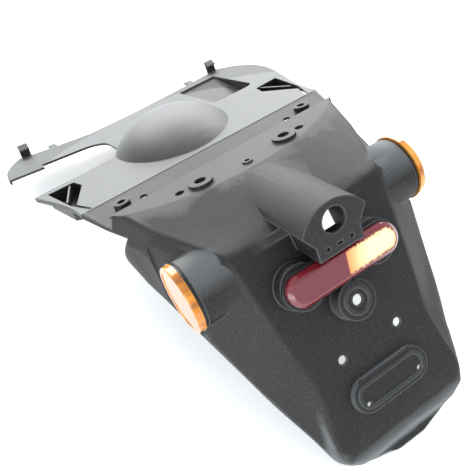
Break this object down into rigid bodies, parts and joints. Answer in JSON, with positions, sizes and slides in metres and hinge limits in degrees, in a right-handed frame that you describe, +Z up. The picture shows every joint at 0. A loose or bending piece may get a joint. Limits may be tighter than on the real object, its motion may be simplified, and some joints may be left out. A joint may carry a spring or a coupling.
{
  "type": "scooter rear mudguard",
  "caption": "Moulded rear mudguard of a motor scooter with an inner tray, tyre dome, lamp hood, number plate flap and bolted-on amber and red reflectors.",
  "frame": {"origin": "bottom centre of the part as it rests on the flap's edge and the front corners", "axes": "+X to the part's right, +Y forward along its length, +Z up"},
  "size_m": [0.3426, 0.5392, 0.207],
  "materials": {
    "body_plastic": "matte, fine grain on the flap",
    "reflector_base": "satin",
    "amber_lens": "clear prismatic",
    "red_lens": "clear prismatic",
    "fixing_steel": "zinc plated"
  },
  "bodies": {
    "root": {"mudguard_body": "body_plastic", "side_base_right": "reflector_base", "side_base_left": "reflector_base", "side_lens_right": "amber_lens", "side_lens_left": "amber_lens", "red_base": "reflector_base", "red_lens": "red_lens", "reflector_studs": "fixing_steel", "reflector_nuts": "fixing_steel"}
  },
  "joints": []
}
